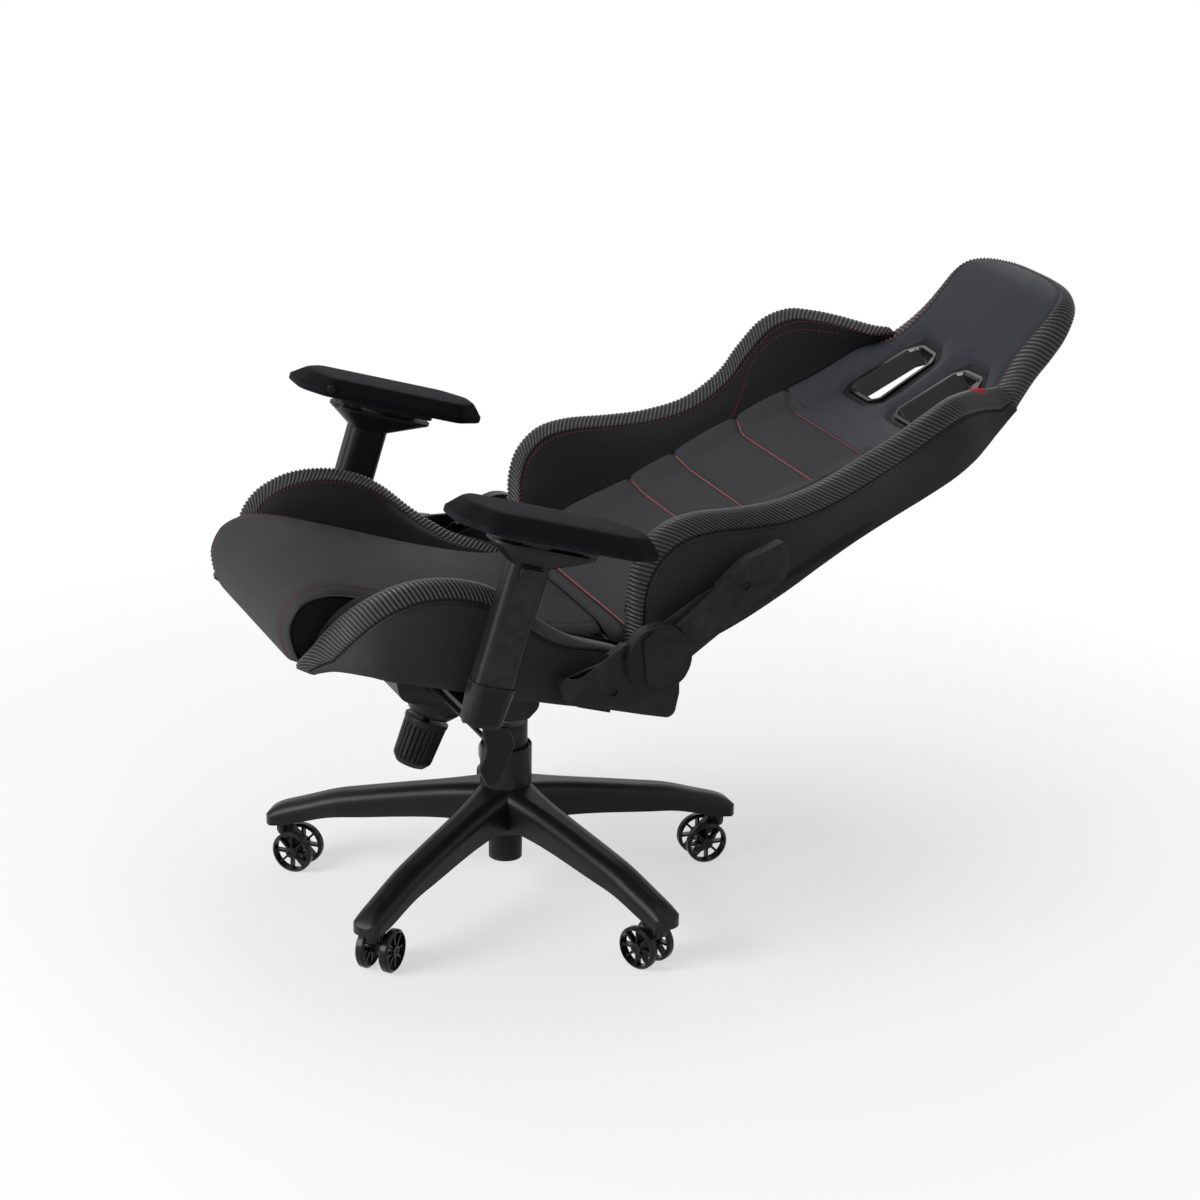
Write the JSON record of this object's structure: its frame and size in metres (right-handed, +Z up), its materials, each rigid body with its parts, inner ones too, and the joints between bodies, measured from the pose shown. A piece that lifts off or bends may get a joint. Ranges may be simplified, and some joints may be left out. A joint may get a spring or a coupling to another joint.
{
  "type": "gaming chair",
  "caption": "Reclining bucket-seat gaming chair with winged backrest, adjustable armrests, tilt mechanism and gas lift on a star base with casters.",
  "frame": {"origin": "on the floor, on the gas lift axis at the centre of the star base", "axes": "-Y is the front of the seat, +X the sitter's left, +Z up"},
  "size_m": [0.736, 1.1812, 0.8208],
  "materials": {
    "satin_metal": "satin black coating",
    "moulded_black": "fine-textured black moulding",
    "wheel_black": "black moulding with a soft sheen",
    "bright_steel": "ground and polished",
    "frame_steel": "powder coated",
    "seat_leather": "smooth black leatherette",
    "wing_leather": "soft matt black leatherette with ribbed edge bands",
    "shell_leather": "black leatherette",
    "pad_soft": "moulded soft polyurethane",
    "bezel_gloss": "gloss black",
    "bearing_polymer": "natural polymer"
  },
  "bodies": {
    "base": {"star_base": "satin_metal", "gas_lift_tube": "frame_steel", "gas_lift_bush": "bearing_polymer", "lower_sleeve": "moulded_black"},
    "middle_sleeve": {"middle_sleeve": "moulded_black"},
    "lift_rod": {"piston_rod": "bright_steel", "thrust_bearing": "bright_steel"},
    "lift_column": {"gas_cylinder": "bright_steel", "upper_sleeve": "moulded_black", "tilt_housing": "satin_metal"},
    "seat": {"tilt_frame": "satin_metal", "tilt_shaft": "frame_steel", "seat_frame": "frame_steel", "seat_cushion": "seat_leather", "seat_bolster_left": "wing_leather", "seat_bolster_right": "wing_leather", "arm_post_left": "satin_metal", "arm_post_right": "satin_metal", "arm_post_cap_left": "moulded_black", "arm_post_cap_right": "moulded_black", "seat_cover_left": "moulded_black", "seat_cover_right": "moulded_black", "hinge_caps": "moulded_black"},
    "back": {"back_frame": "frame_steel", "back_shell": "shell_leather", "back_cushion": "seat_leather", "head_panel": "seat_leather", "back_wing_left": "wing_leather", "back_wing_right": "wing_leather", "cutout_bezels": "bezel_gloss", "back_cover_left": "moulded_black", "back_cover_right": "moulded_black"},
    "tension_knob": {"tension_knob": "moulded_black"},
    "lever_bush": {"lever_bush": "moulded_black"},
    "lift_lever": {"lift_lever": "moulded_black"},
    "recline_lever": {"recline_lever": "moulded_black"},
    "arm_sleeve_left": {"arm_sleeve_left": "satin_metal"},
    "height_button_left": {"height_button_left": "moulded_black"},
    "swivel_plate_left": {"swivel_plate_left": "frame_steel"},
    "slide_plate_left": {"slide_plate_left": "frame_steel"},
    "arm_pad_left": {"arm_pad_left": "pad_soft"},
    "pad_button_left": {"pad_button_left": "moulded_black"},
    "arm_sleeve_right": {"arm_sleeve_right": "satin_metal"},
    "height_button_right": {"height_button_right": "moulded_black"},
    "swivel_plate_right": {"swivel_plate_right": "frame_steel"},
    "slide_plate_right": {"slide_plate_right": "frame_steel"},
    "arm_pad_right": {"arm_pad_right": "pad_soft"},
    "pad_button_right": {"pad_button_right": "moulded_black"},
    "caster_1_fork": {"caster_1_fork": "wheel_black"},
    "caster_1_wheels": {"caster_1_wheels": "wheel_black"},
    "caster_2_fork": {"caster_2_fork": "wheel_black"},
    "caster_2_wheels": {"caster_2_wheels": "wheel_black"},
    "caster_3_fork": {"caster_3_fork": "wheel_black"},
    "caster_3_wheels": {"caster_3_wheels": "wheel_black"},
    "caster_4_fork": {"caster_4_fork": "wheel_black"},
    "caster_4_wheels": {"caster_4_wheels": "wheel_black"},
    "caster_5_fork": {"caster_5_fork": "wheel_black"},
    "caster_5_wheels": {"caster_5_wheels": "wheel_black"}
  },
  "joints": [
    {"name": "seat_swivel", "type": "hinge", "parent": "base", "child": "lift_rod", "pos_m": [0, 0, 0.06], "axis": [0, 0, 1], "continuous": true},
    {"name": "seat_lift", "type": "slide", "parent": "lift_rod", "child": "lift_column", "axis": [0, 0, 1], "range_m": [0, 0.08]},
    {"name": "sleeve_lift", "type": "slide", "parent": "base", "child": "middle_sleeve", "axis": [0, 0, 1], "range_m": [0, 0.04]},
    {"name": "seat_tilt", "type": "hinge", "parent": "lift_column", "child": "seat", "pos_m": [0, -0.045, 0.325], "axis": [1, 0, 0], "range_deg": [0, 17]},
    {"name": "back_recline", "type": "hinge", "parent": "seat", "child": "back", "pos_m": [0, 0.09647, 0.43954], "axis": [1, 0, 0], "range_deg": [-20, 45]},
    {"name": "tension_turn", "type": "hinge", "parent": "seat", "child": "tension_knob", "pos_m": [0, -0.11557, 0.27547], "axis": [0, 0.3746, 0.9272], "range_deg": [-720, 720]},
    {"name": "lever_lift", "type": "hinge", "parent": "seat", "child": "lever_bush", "pos_m": [0.072, -0.12576, 0.34132], "axis": [0, -0.9563, 0.2924], "range_deg": [0, 6], "stiffness_Nm_per_rad": 0.6, "springref_deg": -20.05},
    {"name": "lever_lock", "type": "slide", "parent": "lever_bush", "child": "lift_lever", "axis": [1, 0, 0], "range_m": [0, 0.012]},
    {"name": "recline_pull", "type": "hinge", "parent": "seat", "child": "recline_lever", "pos_m": [-0.301, 0.09647, 0.43954], "axis": [-1, 0, 0], "range_deg": [0, 25], "stiffness_Nm_per_rad": 0.8, "springref_deg": -20.05},
    {"name": "arm_height_left", "type": "slide", "parent": "seat", "child": "arm_sleeve_left", "axis": [0, 0.2924, 0.9563], "range_m": [0, 0.07]},
    {"name": "height_button_press_left", "type": "slide", "parent": "arm_sleeve_left", "child": "height_button_left", "axis": [-1, 0, 0], "range_m": [0, 0.003], "stiffness_N_per_m": 200, "springref_m": -0.005},
    {"name": "arm_swivel_left", "type": "hinge", "parent": "arm_sleeve_left", "child": "swivel_plate_left", "pos_m": [0.308, -0.08461, 0.62468], "axis": [0, 0.2924, 0.9563], "range_deg": [-15, 15]},
    {"name": "arm_depth_left", "type": "slide", "parent": "swivel_plate_left", "child": "slide_plate_left", "axis": [0, 0.9563, -0.2924], "range_m": [-0.025, 0.025]},
    {"name": "arm_width_left", "type": "slide", "parent": "slide_plate_left", "child": "arm_pad_left", "axis": [1, 0, 0], "range_m": [0, 0.03]},
    {"name": "pad_button_press_left", "type": "slide", "parent": "arm_pad_left", "child": "pad_button_left", "axis": [1, 0, 0], "range_m": [0, 0.003], "stiffness_N_per_m": 200, "springref_m": -0.005},
    {"name": "arm_height_right", "type": "slide", "parent": "seat", "child": "arm_sleeve_right", "axis": [0, 0.2924, 0.9563], "range_m": [0, 0.07]},
    {"name": "height_button_press_right", "type": "slide", "parent": "arm_sleeve_right", "child": "height_button_right", "axis": [1, 0, 0], "range_m": [0, 0.003], "stiffness_N_per_m": 200, "springref_m": -0.005},
    {"name": "arm_swivel_right", "type": "hinge", "parent": "arm_sleeve_right", "child": "swivel_plate_right", "pos_m": [-0.308, -0.08461, 0.62468], "axis": [0, 0.2924, 0.9563], "range_deg": [-15, 15]},
    {"name": "arm_depth_right", "type": "slide", "parent": "swivel_plate_right", "child": "slide_plate_right", "axis": [0, 0.9563, -0.2924], "range_m": [-0.025, 0.025]},
    {"name": "arm_width_right", "type": "slide", "parent": "slide_plate_right", "child": "arm_pad_right", "axis": [-1, 0, 0], "range_m": [0, 0.03]},
    {"name": "pad_button_press_right", "type": "slide", "parent": "arm_pad_right", "child": "pad_button_right", "axis": [-1, 0, 0], "range_m": [0, 0.003], "stiffness_N_per_m": 200, "springref_m": -0.005},
    {"name": "caster_1_swivel", "type": "hinge", "parent": "base", "child": "caster_1_fork", "pos_m": [0.30909, 0.10043, 0.07], "axis": [0, 0, 1], "continuous": true},
    {"name": "caster_1_roll", "type": "hinge", "parent": "caster_1_fork", "child": "caster_1_wheels", "pos_m": [0.28949, 0.09044, 0.03], "axis": [0.454, -0.891, 0], "continuous": true},
    {"name": "caster_2_swivel", "type": "hinge", "parent": "base", "child": "caster_2_fork", "pos_m": [0, 0.325, 0.07], "axis": [0, 0, 1], "continuous": true},
    {"name": "caster_2_roll", "type": "hinge", "parent": "caster_2_fork", "child": "caster_2_wheels", "pos_m": [-0.00077, 0.30301, 0.03], "axis": [0.9994, -0.0349, 0], "continuous": true},
    {"name": "caster_3_swivel", "type": "hinge", "parent": "base", "child": "caster_3_fork", "pos_m": [-0.30909, 0.10043, 0.07], "axis": [0, 0, 1], "continuous": true},
    {"name": "caster_3_roll", "type": "hinge", "parent": "caster_3_fork", "child": "caster_3_wheels", "pos_m": [-0.28817, 0.09363, 0.03], "axis": [0.309, 0.9511, 0], "continuous": true},
    {"name": "caster_4_swivel", "type": "hinge", "parent": "base", "child": "caster_4_fork", "pos_m": [-0.19103, -0.26293, 0.07], "axis": [0, 0, 1], "continuous": true},
    {"name": "caster_4_roll", "type": "hinge", "parent": "caster_4_fork", "child": "caster_4_wheels", "pos_m": [-0.17547, -0.24737, 0.03], "axis": [-0.7071, 0.7071, 0], "continuous": true},
    {"name": "caster_5_swivel", "type": "hinge", "parent": "base", "child": "caster_5_fork", "pos_m": [0.19103, -0.26293, 0.07], "axis": [0, 0, 1], "continuous": true},
    {"name": "caster_5_roll", "type": "hinge", "parent": "caster_5_fork", "child": "caster_5_wheels", "pos_m": [0.17603, -0.24684, 0.03], "axis": [-0.7314, -0.682, 0], "continuous": true}
  ],
  "couplings": [
    {"joint": "sleeve_lift", "follows": "seat_lift", "ratio": 0.5}
  ]
}
